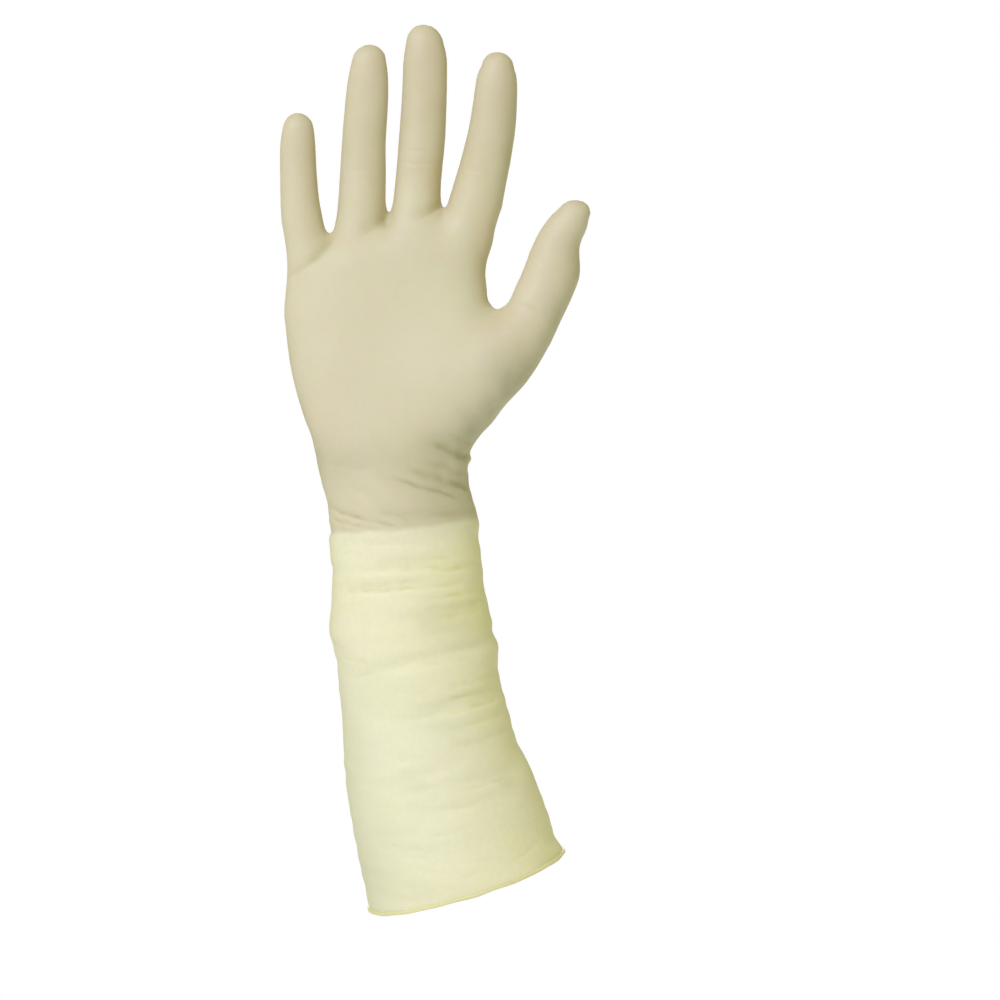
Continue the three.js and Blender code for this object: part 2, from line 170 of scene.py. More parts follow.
# Main folds of the gauntlet and wrist, each on a line across the section between two angles: 0 is the thumb
# side, 90 the back, 180 the little finger side and 270 the palm side.
FOLDS = np.array([  # z at the left edge, z at the right edge, from, to, relief, half width
    (187, 169, 262, 350, -1.2, 2.4),
    (194, 172.5, 285, 340, -0.9, 2.4),
    (222, 185, 305, 375, -1.2, 2.6),
    (165, 136, 182, 250, -1.1, 2.4),
    (182, 139, 235, 282, -0.9, 2.6),
    (160.5, 161, 262, 345, -1, 2.6),
    (152, 157.5, 150, 390, 0.7, 3),
    (137, 139, 235, 345, -0.8, 2.6),
    (127, 133, 205, 325, -0.5, 2.2),
    (131.6, 139, 220, 330, 0.35, 2.8),
    (110.4, 121, 262, 345, -1.1, 3.2),
    (102.5, 68, 185, 232, -0.9, 2.8),
    (89, 105, 236, 336, -1.1, 3.2),
    (92, 83.5, 185, 246, -1, 3),
    (67, 83, 262, 340, -1.1, 3.2),
    (60.5, 83, 262, 305, -0.8, 2.8),
    (39, 58.6, 232, 292, -1, 3.2),
    (30.6, 50, 276, 340, -1.1, 3.4),
    (21, 41, 254, 322, -0.9, 3.2),
    (172, 166, 40, 140, -1.2, 3.2),
    (158, 152, 20, 120, -1, 3),
    (142, 146, 50, 165, -1.1, 3.2),
    (118, 124, 30, 130, -1.1, 3.4),
    (92, 84, 60, 170, -1, 3.4),
    (60, 68, 20, 120, -1.1, 3.6),
])
FOLD_FADE = 24  # degrees


def between_rows(rows, place):
    """Rows read at fractional places: the cubic through each two rows whose slope at a row is half the
    difference of the rows beside it."""
    last = len(rows) - 1
    start = np.minimum(place.astype(int), last - 1)
    t = (place - start)[:, None]
    a, b, c, d = (rows[np.clip(start + k, 0, last)] for k in (-1, 0, 1, 2))
    return b + 0.5 * t * (c - a + t * (2 * a - 5 * b + 4 * c - d + t * (3 * b - a - 3 * c + d)))


def unit(vectors):
    """Vectors of length one: each is divided by its own length."""
    return vectors / np.linalg.norm(vectors, axis=-1, keepdims=True)


def smoothstep(low, high, value):
    """Rises from 0 at low to 1 at high: three times the square less twice the cube of the share between."""
    t = np.clip((value - low) / (high - low), 0, 1)
    return t * t * (3 - 2 * t)


def limb_frames(table, dome):
    """Sections of a limb at an even spacing: their middles, the directions across and front to back, the two
    half sizes and the squareness. The tip is half an ellipsoid, whose sections shrink as a cosine."""
    rows = between_rows(table, np.linspace(0, len(table) - 1, SAMPLES_A_ROW * len(table)))
    left = rows[:, [0, 4, 1]] * MM
    right = rows[:, [2, 4, 3]] * MM
    middle = (left + right) / 2
    travelled = np.concatenate([[0], np.cumsum(np.linalg.norm(np.diff(middle, axis=0), axis=1))])
    even = np.linspace(0, travelled[-1], int(travelled[-1] / RING_SPACING) + 1)

    def at_even(values):
        return np.stack([np.interp(even, travelled, column) for column in values.T], axis=1)

    middle, across = at_even(middle), unit(at_even(right - left))
    sizes = at_even(np.column_stack([np.linalg.norm(right - left, axis=1) / 2, rows[:, 5] * MM, rows[:, 6]]))
    turn = np.linspace(0, np.pi / 2, DOME_TURNS + 1)[1:-1]
    ahead = unit(middle[-1] - middle[-2])
    tip = middle[-1] + ahead * dome
    middle = np.concatenate([middle, middle[-1] + ahead * dome * np.sin(turn)[:, None]])
    across = np.concatenate([across, np.repeat(across[-1:], len(turn), axis=0)])
    shrink = np.column_stack([np.cos(turn), np.cos(turn), np.ones(len(turn))])
    sizes = np.concatenate([sizes, sizes[-1] * shrink])
    back = unit(np.cross(np.gradient(middle, axis=0), across))
    return middle, across, back, sizes, tip


def fold_relief(angle, points, left_x, right_x):
    """Height of the folds at points of the gauntlet: each fold is a bell curve across its line, and fades out
    where the angle round the section leaves its stretch."""
    share = (points[..., 0] - left_x) / (right_x - left_x)
    height = np.zeros(share.shape)
    for left_z, right_z, start, end, relief, half_width in FOLDS:
        off = (points[..., 2] / MM - left_z - (right_z - left_z) * share) / half_width
        turn = np.abs((angle - (start + end) / 2 + 540) % 360 - 180)
        reach = (end - start) / 2
        fade = 1 - smoothstep(reach - FOLD_FADE, reach + FOLD_FADE / 2, turn)
        height += relief * MM * np.exp(-off**2) * fade
    return height


def limb_skin(table, sides, dome):
    """Closed skin of a limb: every section is a superellipse, with the cosine and sine of the angle raised to
    2 over the squareness, and a fan closes each end."""
    middle, across, back, sizes, tip = limb_frames(table, dome)
    down = -unit(np.cross(across[0], back[0]))
    if table is TRUNK:
        middle = np.concatenate([[middle[0] + down * MOUTH_OVERRUN], middle])
        across, back, sizes = (np.concatenate([part[:1], part]) for part in (across, back, sizes))
    angle = np.linspace(0, 2 * np.pi, sides, endpoint=False)
    power = 2 / sizes[:, 2:3]
    u = np.sign(np.cos(angle)) * np.abs(np.cos(angle)) ** power * sizes[:, 0:1]
    v = np.sign(np.sin(angle)) * np.abs(np.sin(angle)) ** power * sizes[:, 1:2]
    outward = u[..., None] * across[:, None] + v[..., None] * back[:, None]
    points = middle[:, None] + outward
    if table is TRUNK:
        left_x = (middle[:, 0] - across[:, 0] * sizes[:, 0])[:, None]
        right_x = (middle[:, 0] + across[:, 0] * sizes[:, 0])[:, None]
        points = points + unit(outward) * fold_relief(np.degrees(angle), points, left_x, right_x)[..., None]
    rings = len(middle)
    ring, side = np.meshgrid(np.arange(rings - 1), np.arange(sides), indexing="ij")
    a = ring * sides + side
    b = ring * sides + (side + 1) % sides
    corners = np.stack([a, b, b + sides, a + sides], axis=-1).reshape(-1, 4)
    turn = np.arange(sides)
    following = (turn + 1) % sides
    top = (rings - 1) * sides
    foot_fan = np.column_stack([np.full(sides, rings * sides), following, turn])
    tip_fan = np.column_stack([np.full(sides, rings * sides + 1), top + turn, top + following])
    points = np.concatenate([points.reshape(-1, 3), middle[:1], [tip]])
    return points, corners.tolist() + foot_fan.tolist() + tip_fan.tolist()


def mesh_of(name, points, faces):
    """A new mesh with these points and faces."""
    mesh = bpy.data.meshes.new(name)
    mesh.from_pydata(points, [], faces)
    mesh.validate()
    return mesh


def read(items, key, width, kind=float):
    """The numbers that the items of a mesh hold under a key, with a row of them for each item."""
    values = np.empty(len(items) * width, dtype=kind)
    items.foreach_get(key, values)
    return values.reshape(-1, width)


def reshaped(mesh, kind, **settings):
    """The mesh that a modifier of one kind, with these settings, makes of another mesh."""
    form = bpy.data.objects.new("form", mesh)
    bpy.context.collection.objects.link(form)
    modifier = form.modifiers.new(kind, kind)
    for key, value in settings.items():
        setattr(modifier, key, value)
    result = bpy.data.meshes.new_from_object(form.evaluated_get(bpy.context.evaluated_depsgraph_get()))
    bpy.data.objects.remove(form)
    return result


# Skin: the limbs joined into one surface, softened where they run into each other, as a stretched film is.
# The root of the thumb is softened most, and the bottoms of the webs stay tight.
VOXEL = 1.0 * MM
EVERYWHERE_ROUNDS = 4
BLEND_ROUNDS = 420
LEAST_BLEND = 0.05
BLENDS = np.array([  # photograph pixel x, y, radius in pixels, share of full softening
    (360, 262, 34, 1.0),
    (420, 250, 34, 1.0),
    (310, 270, 30, 1.0),
    (470, 260, 34, 1.0),
    (486, 345, 36, 1.0),
    (462, 350, 44, 1.0),
    (450, 385, 46, 1.0),
    (430, 410, 44, 1.0),
    (430, 445, 34, 1.0),
    (470, 430, 26, 0.7),
])
WEBS = np.array([  # photograph pixel x, y, radius in pixels, share of full softening, drop in millimetres
    (331, 232, 16, 0.06, 0.4),
    (387, 209, 16, 0.06, 5.6),
    (444, 203, 16, 0.06, 0.2),
    (498, 306, 18, 0.3, 0.3),
])


def eased(points, links, weight, rounds):
    """Points moved step by step towards the mean of their neighbours, by half of the weight each round."""
    first, second = links[:, 0], links[:, 1]
    size = len(points)
    count = np.bincount(links.ravel(), minlength=size)[:, None]
    for _ in range(rounds):
        total = np.stack([
            np.bincount(first, points[second, axis], size) + np.bincount(second, points[first, axis], size)
            for axis in range(3)], axis=1)
        points = points + 0.5 * weight * (total / count - points)
    return points


all_points, all_faces = [], []
for table, sides, dome in LIMBS:
    points, faces = limb_skin(table, sides, dome)
    base = sum(len(part) for part in all_points)
    all_points.append(points)
    all_faces += [[base + corner for corner in face] for face in faces]
limbs_mesh = mesh_of("form", np.concatenate(all_points), all_faces)
skin_mesh = reshaped(limbs_mesh, "REMESH", mode="VOXEL", voxel_size=VOXEL)
skin_links = read(skin_mesh.edges, "vertices", 2, np.int64)
skin_points = eased(read(skin_mesh.vertices, "co", 3), skin_links, 1.0, EVERYWHERE_ROUNDS)


def nearness(points, rows):
    """How near the points are to each row's middle in the photograph's plane: 1 there, a bell around it."""
    x, z = from_photo(rows[:, 0], rows[:, 1])
    return np.exp(-(np.hypot(points[:, 0:1] - x, points[:, 2:3] - z) / (rows[:, 2] * PIXEL)) ** 2)


blend = np.max(nearness(skin_points, BLENDS) * BLENDS[:, 3], axis=1)
blend = np.where(blend > LEAST_BLEND, blend, 0)
at_web = nearness(skin_points, WEBS)
blend = blend * (1 - at_web.max(axis=1)) + (at_web * WEBS[:, 3]).max(axis=1)
skin_points = eased(skin_points, skin_links, blend[:, None], BLEND_ROUNDS)
skin_points[:, 2] -= nearness(skin_points, WEBS) @ WEBS[:, 4] * MM
skin_mesh.vertices.foreach_set("co", skin_points.ravel())
skin_mesh.update()

# Relief: pads, hollows, webs and knuckles of the worn form, on the palm side, the back and the edges. Each
# is a bell in the photograph's plane.
FRONT_PADS = np.array([  # photograph pixel x, y, radius across and up in pixels, height in millimetres
    (398, 325, 46, 48, -0.8),
    (446, 376, 54, 58, 3.4),
    (384, 494, 46, 46, 3.0),
    (322, 385, 26, 46, 1.0),
    (352, 262, 24, 16, 0.7),
    (412, 246, 26, 16, 0.7),
    (466, 244, 22, 18, 0.7),
    (300, 262, 18, 14, 0.5),
    (498, 372, 30, 36, 0.3),
    (297, 132, 14, 14, 0.5),
    (369, 68, 16, 18, 0.6),
    (424, 50, 17, 18, 0.6),
    (497, 78, 17, 18, 0.6),
    (569, 226, 16, 18, 0.6),
    (398, 470, 40, 18, -0.6),
])
SIDE_PADS = np.array([
    (312, 118, 12, 12, -0.4),
    (284, 122, 9, 11, -0.25),
    (378, 48, 12, 12, -0.25),
    (356, 50, 12, 12, -0.25),
    (406, 36, 9, 10, -0.3),
    (446, 50, 8, 13, 0.3),
    (516, 72, 9, 20, 0.55),
    (490, 248, 10, 20, 1.9),
    (489, 299, 7, 9, -0.8),
    (509, 300, 7, 9, -0.5),
    (488, 426, 14, 22, 1.4),
    (480, 442, 8, 9, 0.6),
    (309, 441, 8, 18, -0.7),
    (471, 459, 6, 4, 1.3),
    (472, 470, 6, 3, -0.5),
    (328, 546, 6, 9, -0.4),
    (330, 532, 5, 3, -0.5),
    (331, 521, 5, 4, 0.4),
    (494, 632, 8, 11, -0.9),
    (497, 650, 8, 7, 0.4),
    (500, 668, 8, 6, -0.5),
    (506, 700, 8, 9, 0.4),
    (480, 585, 8, 8, -0.4),
    (330, 628, 7, 14, 0.5),
    (340, 662, 7, 8, -0.5),
    (556, 838, 8, 7, -1.2),
])
BACK_PADS = np.array([
    (312, 292, 15, 14, 1.6),
    (358, 268, 16, 15, 2.0),
    (410, 258, 16, 15, 2.2),
    (462, 266, 16, 15, 2.0),
    (299, 178, 15, 12, 0.9),
    (361, 150, 17, 13, 1.1),
    (421, 140, 17, 13, 1.1),
    (484, 160, 18, 13, 1.1),
    (545, 300, 18, 16, 1.1),
    (336, 300, 8, 40, -0.8),
    (386, 288, 8, 44, -0.8),
    (436, 290, 8, 44, -0.8),
    (352, 470, 14, 12, 1.2),
])

# Creases: fine marks where the film bends or is pinched, each a shallow valley with a low ridge beside it,
# drawn between two photograph pixels and bowed in the middle. The gauntlet's are on its palm side, and its
# back has them turned round left to right and a little lower.
HAND_CREASES = np.array([  # pixel x, y, pixel x, y, bow in pixels, depth and half width in millimetres
    (399, 151, 443, 149, 2, 0.16, 1.0),
    (398, 164, 443, 163, 2, 0.22, 0.9),
    (341, 171, 385, 170, 2, 0.16, 1.0),
    (474, 94, 516, 97, 2, 0.16, 1.0),
    (459, 170, 507, 173, 2, 0.18, 1.0),
    (281, 176, 316, 178, 2, 0.14, 1.0),
    (528, 258, 577, 276, 2, 0.22, 1.0),
    (512, 296, 560, 318, 3, 0.18, 1.1),
])
GAUNTLET_CREASES = np.array([
    (374, 473, 484, 503, 1, 0.55, 1.4),
    (402, 466, 488, 495, 0, 0.9, 1.9),
    (398, 475, 480, 500, 0, -0.2, 0.9),
    (404, 454, 486, 482, 0, 0.5, 2.2),
    (424, 440, 492, 469, 0, 0.62, 2.2),
    (440, 430, 484, 452, -1, 0.35, 1.6),
    (320, 462, 386, 468, 1, 0.2, 2.2),
    (318, 502, 412, 532, 1, 0.42, 1.2),
    (320, 514, 384, 534, 0, 0.34, 1.0),
    (334, 497, 418, 522, 1, 0.12, 1.6),
    (362, 503, 432, 529, 1, 0.18, 1.5),
    (404, 520, 490, 511, 0, 0.35, 2.2),
    (332, 545, 404, 541, 1, 0.12, 1.6),
    (390, 545, 484, 535, 1, 0.15, 1.8),
    (386, 559, 470, 555, 1, 0.22, 1.3),
    (336, 569, 376, 571, 1, 0.16, 1.2),
    (362, 570, 458, 565, 1, 0.24, 1.5),
    (424, 571, 490, 561, 2, 0.36, 1.5),
    (346, 584, 452, 575, 2, 0.24, 1.4),
    (322, 594, 500, 579, 1, 0.34, 1.3),
    (368, 597, 444, 590, 3, 0.16, 1.6),
    (414, 598, 488, 587, 2, 0.34, 1.6),
    (424, 607, 492, 598, 2, 0.26, 1.7),
    (396, 626, 466, 611, 2, 0.22, 2.4),
    (434, 616, 492, 605, 2, 0.22, 1.5),
    (420, 633, 468, 626, 1, 0.22, 1.8),
    (334, 654, 376, 660, 2, 0.16, 1.4),
    (358, 662, 428, 661, 2, 0.13, 1.4),
    (410, 656, 492, 645, -2, 0.22, 1.2),
    (412, 665, 484, 656, -1, 0.2, 1.5),
    (340, 676, 384, 668, 2, 0.16, 1.2),
    (434, 687, 503, 671, 2, 0.26, 1.8),
    (430, 699, 508, 681, 3, 0.3, 1.5),
    (428, 713, 512, 691, 4, 0.32, 1.3),
    (398, 718, 444, 710, 1, 0.16, 1.3),
    (440, 729, 512, 708, 2, 0.18, 1.5),
    (442, 744, 520, 724, 3, 0.22, 1.9),
    (366, 765, 424, 752, 2, 0.16, 1.6),
    (384, 791, 466, 771, 3, 0.2, 1.8),
    (458, 789, 512, 774, 1, 0.26, 0.9),
    (436, 807, 502, 792, 2, 0.16, 1.0),
    (448, 815, 524, 795, 2, 0.18, 1.2),
    (416, 836, 486, 820, 1, 0.26, 0.9),
    (380, 848, 450, 842, 2, 0.08, 2.4),
    (504, 862, 544, 832, 4, 0.16, 1.2),
    (452, 876, 504, 860, 1, 0.2, 1.0),
])
ROOT_FOLDS = np.array([
    (276, 282, 338, 230, 10, 0.45, 1.0),
    (308, 274, 340, 226, 5, 0.35, 1.1),
    (356, 241, 396, 207, 3, 0.46, 1.8),
    (412, 223, 449, 202, 2, 0.45, 1.2),
    (426, 218, 452, 200, 0, 0.25, 0.8),
])
ROOT_FOLD_SPREAD = 4
BACK_CREASES = np.array([
    (343, 160, 384, 158, 2, 0.2, 0.9),
    (401, 146, 442, 145, 2, 0.2, 0.9),
    (464, 164, 508, 170, 2, 0.2, 0.9),
    (284, 184, 316, 184, 2, 0.16, 0.9),
    (402, 78, 446, 78, 2, 0.14, 0.9),
    (348, 92, 386, 92, 2, 0.14, 0.9),
    (476, 100, 516, 104, 2, 0.14, 0.9),
    (336, 468, 456, 480, 6, 0.2, 1.8),
])
FACING = (0.05, 0.5)
BACK_DROP = 9 * MM
BACK_SHARE = 0.8
RIDGE_SHARE = 0.35
RIDGE_PLACE = 1.9
GAUNTLET_RIDGE = 0.25
ROOT_FOLD_RIDGE = 0.1
ROOT_FOLD_UNEVEN = 0.2
CREASE_FADE = (0.34, 0.66)
RIPPLE_TOP = 0.200
RIPPLE_FADE = 0.03
RIPPLE_HEIGHT = 0.2 * MM
HAND_RIPPLE_HEIGHT = 0.03 * MM
RIPPLE_WAVES = 60
RIPPLE_SIZE = np.array([60, 60, 14]) * MM
FINE_DEPTH = 0.12 * MM
FINE_SIZE = np.array([40, 40, 8]) * MM
FINE_WIDTH = 0.2
PATCH_SIZE = np.array([60, 60, 50]) * MM
PATCH_RANGE = (-0.6, 1.2)
UNEVEN_SIZE = np.array([16, 16, 16]) * MM
UNEVEN_SHIFT = 0.3 * MM
UNEVEN_DEPTH = 0.35
UNEVEN_RANGE = (0.2, 1.6)


def bells(points, rows):
    """Sum of the rows' bells at the points: each is a bell on an ellipse about its pixel, times its last
    number."""
    x, z = from_photo(rows[:, 0], rows[:, 1])
    across = (points[:, 0:1] - x) / (rows[:, 2] * PIXEL)
    up = (points[:, 2:3] - z) / (rows[:, 3] * PIXEL)
    return np.exp(-(across**2) - up**2) @ rows[:, 4]


def padded_out(points, pads):
    """Height of the pads at the points, in metres."""
    return bells(points, pads) * MM


def rippled(points, size, waves, seed):
    """Height of soft uneven dents: the sum of many plane sine waves with random directions, lengths and
    starts, drawn out or shortened along each axis."""
    draw = np.random.default_rng(seed)
    ways = draw.normal(size=(waves, 3)) * 2 * np.pi / size
    starts = draw.uniform(0, 2 * np.pi, waves)
    return np.sin(points @ ways.T + starts).sum(axis=1) / np.sqrt(waves)


def creased(points, rows, ridge=RIDGE_SHARE, spread=1, uneven=1):
    """Height of the creases at the points: across its bowed line each is a bell-shaped valley and, below it,
    a bell-shaped ridge whose height is a share of the depth. It wavers, and fades over the first and last
    third of its length. Above its line the valley is spread times as wide."""
    shift = uneven * UNEVEN_SHIFT * rippled(points, UNEVEN_SIZE, RIPPLE_WAVES, seed=3)
    share_of_depth = 1 + uneven * UNEVEN_DEPTH * rippled(points, UNEVEN_SIZE, RIPPLE_WAVES, seed=4)
    share_of_depth = np.clip(share_of_depth, *UNEVEN_RANGE)
    height = np.zeros(len(points))
    for start_x, start_y, end_x, end_y, bow, depth, half_width in rows:
        start, end = np.array(from_photo(start_x, start_y)), np.array(from_photo(end_x, end_y))
        length = np.linalg.norm(end - start)
        way = (end - start) / length
        flat = points[:, [0, 2]] - start
        share = flat @ way / length
        bowed = 4 * share * (1 - share) * bow * PIXEL
        off = (flat @ np.array([-way[1], way[0]]) + bowed + shift) / (half_width * MM)
        off = np.where(off > 0, off / spread, off)
        fade = smoothstep(0, CREASE_FADE[0], share) * (1 - smoothstep(CREASE_FADE[1], 1, share))
        height += depth * MM * fade * (ridge * np.exp(-((off + RIDGE_PLACE) ** 2)) - np.exp(-(off**2)))
    return height * share_of_depth


normals = read(skin_mesh.vertex_normals, "vector", 3)
front = smoothstep(*FACING, -normals[:, 1])
behind = smoothstep(*FACING, normals[:, 1])
height = front * padded_out(skin_points, FRONT_PADS) + behind * padded_out(skin_points, BACK_PADS)
height += padded_out(skin_points, SIDE_PADS)
gauntlet_creases = creased(skin_points, GAUNTLET_CREASES, GAUNTLET_RIDGE)
creases = front * (creased(skin_points, HAND_CREASES) + gauntlet_creases)
creases += front * creased(skin_points, ROOT_FOLDS, ROOT_FOLD_RIDGE, ROOT_FOLD_SPREAD, ROOT_FOLD_UNEVEN)
middle_z, middle_x = (TRUNK[:, 1] + TRUNK[:, 3]) / 2 * MM, (TRUNK[:, 0] + TRUNK[:, 2]) / 2 * MM
turned = skin_points + [0, 0, BACK_DROP]
turned[:, 0] = 2 * np.interp(skin_points[:, 2], middle_z, middle_x) - skin_points[:, 0]
creases += behind * (creased(skin_points, BACK_CREASES) + BACK_SHARE * creased(turned, GAUNTLET_CREASES))
on_gauntlet = 1 - smoothstep(RIPPLE_TOP - RIPPLE_FADE, RIPPLE_TOP, skin_points[:, 2])
ripple_height = HAND_RIPPLE_HEIGHT + (RIPPLE_HEIGHT - HAND_RIPPLE_HEIGHT) * on_gauntlet
height += ripple_height * rippled(skin_points, RIPPLE_SIZE, RIPPLE_WAVES, seed=7)
fine_lines = np.exp(-((rippled(skin_points, FINE_SIZE, RIPPLE_WAVES, seed=11) / FINE_WIDTH) ** 2))
patches = smoothstep(*PATCH_RANGE, rippled(skin_points, PATCH_SIZE, RIPPLE_WAVES, seed=5))
creases -= FINE_DEPTH * on_gauntlet * patches * fine_lines
skin_points = skin_points + normals * (height + creases)[:, None]
skin_mesh.vertices.foreach_set("co", skin_points.ravel())
skin_mesh.update()

# Tone that goes with the form: "fold" is the depth of the creases in tenths of a millimetre, by which they
# get painted shade, and each tint is a set of soft spots in the photograph's plane; most tints are painted
# shade and one is painted light. The tints fade out towards the back, apart from "thin".
FOLD_UNIT = 0.1 * MM
TINT_FACING = (-0.6, 0.3)
TINTS = {  # photograph pixel x, y, radius across and up in pixels, strength
    "flush": np.array([  # faintly pink, at the pads of the digits and palm
        (297, 138, 22, 26, 0.7),
        (368, 78, 24, 34, 0.9),
        (424, 62, 24, 38, 0.9),
        (495, 92, 24, 34, 0.8),
        (565, 232, 26, 26, 0.5),
        (300, 210, 26, 20, 0.3),
        (420, 190, 26, 16, 0.3),
        (330, 420, 30, 50, 0.4),
        (300, 330, 26, 60, 0.2),
        (480, 350, 50, 36, 0.4),
        (540, 290, 30, 26, 0.45),
    ]),
    "thin": np.array([  # darker, where the film is stretched over the digits
        (296, 165, 30, 56, 0.7),
        (364, 120, 34, 76, 1.0),
        (424, 100, 32, 88, 1.0),
        (492, 120, 34, 66, 1.0),
        (562, 256, 30, 34, 0.35),
    ]),
    "painted_warm_shade": np.array([  # painted shade: orange and darker by the webs and down the digits' shaded right sides
        (436, 120, 14, 70, 0.6),
        (437, 186, 14, 26, 0.8),
        (380, 100, 10, 60, 0.2),
        (379, 190, 12, 26, 0.7),
        (314, 180, 12, 50, 0.8),
        (321, 244, 14, 14, 0.6),
        (352, 238, 16, 14, 0.5),
        (474, 170, 26, 30, 0.5),
        (509, 116, 10, 44, 0.5),
        (484, 258, 12, 44, 1.0),
        (558, 262, 26, 26, 0.2),
        (572, 284, 12, 14, 0.5),
        (502, 326, 24, 20, 0.7),
    ]),
    "painted_shade": np.array([  # painted shade: darker under the thumb's root, at the wrist, along the edges and low down
        (480, 426, 21, 22, 1.0),
        (486, 376, 36, 44, 0.27),
        (448, 450, 30, 20, 0.8),
        (450, 488, 36, 22, 0.75),
        (434, 524, 30, 12, 0.2),
        (452, 512, 32, 16, 0.4),
        (520, 374, 26, 28, 1.0),
        (546, 350, 8, 20, 0.4),
        (512, 396, 14, 14, 0.4),
        (488, 404, 8, 14, 0.3),
        (289, 362, 8, 40, 0.25),
        (302, 420, 8, 30, 0.4),
        (318, 466, 8, 26, 0.35),
        (329, 590, 8, 60, 0.15),
        (338, 690, 8, 60, 0.2),
        (478, 280, 8, 40, 0.3),
        (508, 130, 8, 50, 0.35),
        (358, 462, 50, 28, 0.45),
        (453, 619, 28, 22, 0.6),
        (430, 624, 14, 10, 0.2),
        (474, 702, 8, 8, 0.25),
        (437, 721, 16, 6, 0.2),
        (418, 780, 20, 10, 0.25),
        (506, 780, 8, 7, 0.45),
        (548, 862, 12, 8, 0.3),
        (350, 800, 22, 90, 0.42),
        (364, 880, 28, 44, 0.65),
        (440, 886, 50, 12, 0.25),
        (576, 286, 14, 30, 0.45),
        (556, 318, 14, 24, 0.5),
        (386, 221, 6, 7, 0.25),
    ]),
    "painted_light": np.array([  # painted light: lighter in the upper palm, where the light falls on it
        (450, 316, 34, 40, 0.9),
        (424, 372, 26, 40, 0.4),
        (412, 200, 18, 14, 0.6),
    ]),
    "painted_low_shade": np.array([  # painted shade: darker towards the mouth and down the little finger's edge
        (366, 890, 60, 44, 1.0),
        (356, 820, 26, 60, 0.6),
        (356, 750, 24, 40, 0.4),
        (430, 800, 90, 80, 0.7),
        (440, 722, 50, 18, 0.5),
        (356, 684, 50, 18, 0.8),
    ]),
    "painted_yellow_shade": np.array([  # painted shade: darker and yellower down the gauntlet's thumb side, turned from the light
        (474, 560, 30, 34, 0.9),
        (472, 610, 42, 34, 0.9),
        (484, 690, 34, 42, 0.6),
        (508, 740, 18, 40, 0.3),
        (430, 570, 44, 20, 0.6),
        (400, 630, 70, 60, 0.2),
    ]),
}


def attribute_on(mesh, name, values):
    """Gives each point of a mesh a number, under a name that the material reads."""
    attribute = mesh.attributes.new(name, "FLOAT", "POINT")
    attribute.data.foreach_set("value", values)


attribute_on(skin_mesh, "fold", np.maximum(-creases, 0) / FOLD_UNIT)
not_behind = smoothstep(*TINT_FACING, -normals[:, 1])
for name, rows in TINTS.items():
    share = 1 if name == "thin" else not_behind
    attribute_on(skin_mesh, name, share * np.minimum(bells(skin_points, rows), 1))

# Film: the skin is thinned out where it is smooth, cut off at the mouth and divided at the wrist line, and
# each part gets its wall.
FILM = 0.45 * MM
KEPT_SHARE = 0.68
WRIST_LEFT = (-60 * MM, 153.6 * MM)
WRIST_RIGHT = (6 * MM, 159.8 * MM)

trunk_middle, trunk_across, trunk_back, trunk_sizes, _ = limb_frames(TRUNK, TRUNK_TIP)
mouth_down = -unit(np.cross(trunk_across[0], trunk_back[0]))
wrist_way = unit(np.array([WRIST_RIGHT[0] - WRIST_LEFT[0], 0, WRIST_RIGHT[1] - WRIST_LEFT[1]]))
wrist_up = np.array([-wrist_way[2], 0, wrist_way[0]])
wrist_point = np.array([WRIST_LEFT[0], 0, WRIST_LEFT[1]])

film_mesh = reshaped(skin_mesh, "DECIMATE", ratio=KEPT_SHARE)
cutter = bmesh.new()
cutter.from_mesh(film_mesh)
for point, way, cut_off in ((trunk_middle[0], mouth_down, True), (wrist_point, wrist_up, False)):
    everything = cutter.verts[:] + cutter.edges[:] + cutter.faces[:]
    bmesh.ops.bisect_plane(cutter, geom=everything, plane_co=point, plane_no=way, clear_outer=cut_off)
bmesh.ops.triangulate(cutter, faces=cutter.faces[:])
cutter.to_mesh(film_mesh)
cutter.free()

film_points = read(film_mesh.vertices, "co", 3)
film_normals = read(film_mesh.vertex_normals, "vector", 3)
film_faces = read(film_mesh.polygons, "vertices", 3, np.int64)
film_values = {
    name: read(film_mesh.attributes[name].data, "value", 1).ravel()
    for name in ("fold", *TINTS)}
above_wrist = (film_points[film_faces].mean(axis=1) - wrist_point) @ wrist_up > 0


def walled_part(name, faces):
    """Closed wall over some faces of the film: the outside, the same faces turned round one film's thickness
    further in, and a strip along every edge that has just one face."""
    used, corners = np.unique(faces, return_inverse=True)
    corners = corners.reshape(-1, 3)
    outside = film_points[used]
    inside = outside - film_normals[used] * FILM
    count = len(used)
    edges = np.concatenate([corners[:, [0, 1]], corners[:, [1, 2]], corners[:, [2, 0]]])
    keys = np.sort(edges, axis=1) @ np.array([count, 1])
    _, first, uses = np.unique(keys, return_index=True, return_counts=True)
    start, end = edges[first[uses == 1]].T
    strip = np.concatenate([
        np.column_stack([end, start, start + count]),
        np.column_stack([end, start + count, end + count])])
    faces = np.concatenate([corners, corners[:, ::-1] + count, strip])
    mesh = mesh_of(name, np.concatenate([outside, inside]), faces.tolist())
    mesh.shade_smooth()
    for key, values in film_values.items():
        attribute_on(mesh, key, np.tile(values[used], 2))
    mesh.normals_split_custom_set_from_vertices(np.concatenate([film_normals[used], -film_normals[used]]))
    piece = bpy.data.objects.new(name, mesh)
    bpy.context.collection.objects.link(piece)
    return piece
